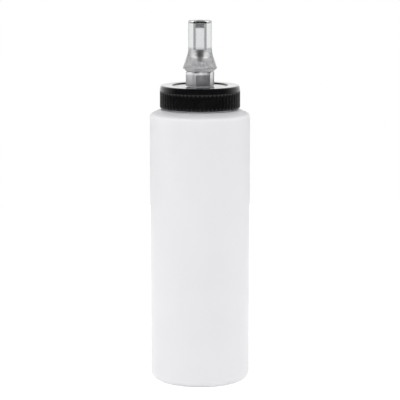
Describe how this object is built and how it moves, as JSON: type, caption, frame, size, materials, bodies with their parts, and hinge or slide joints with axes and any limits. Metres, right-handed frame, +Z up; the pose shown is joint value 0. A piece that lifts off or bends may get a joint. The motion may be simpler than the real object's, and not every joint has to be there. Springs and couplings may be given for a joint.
{
  "type": "compound dispenser bottle",
  "caption": "Translucent squeeze bottle for polishing compound, with a black ribbed screw cap and a clear push-pull nozzle whose tip slides up to open.",
  "frame": {"origin": "centre of the ring that the bottle stands on, on the surface it stands on", "axes": "+Z up along the bottle's axis, -Y towards the side that the picture shows"},
  "size_m": [0.064, 0.064, 0.2321],
  "materials": {
    "milky_plastic": "natural translucent polyethylene, satin, milky white",
    "white_foam": "closed-cell foam, matt",
    "black_plastic": "moulded black polypropylene, satin flank and glossy top",
    "clear_plastic": "clear moulded plastic, polished, faint grey-blue tint",
    "black_rubber": "soft silicone, matt black"
  },
  "bodies": {
    "bottle": {"bottle": "milky_plastic"},
    "liner": {"sealing_liner": "white_foam"},
    "cap": {"screw_cap": "black_plastic", "nozzle_base": "clear_plastic"},
    "tip": {"nozzle_tip": "clear_plastic", "outlet_valve": "black_rubber"}
  },
  "joints": [
    {"name": "cap_lift", "type": "slide", "parent": "bottle", "child": "liner", "axis": [0, 0, 1], "range_m": [0, 0.0042]},
    {"name": "cap_turn", "type": "hinge", "parent": "liner", "child": "cap", "pos_m": [0, 0, 0.18], "axis": [0, 0, 1], "range_deg": [0, 360]},
    {"name": "tip_pull", "type": "slide", "parent": "cap", "child": "tip", "axis": [0, 0, 1], "range_m": [0, 0.004]}
  ],
  "couplings": [
    {"joint": "cap_turn", "follows": "cap_lift", "rad_per_m": 1496}
  ]
}
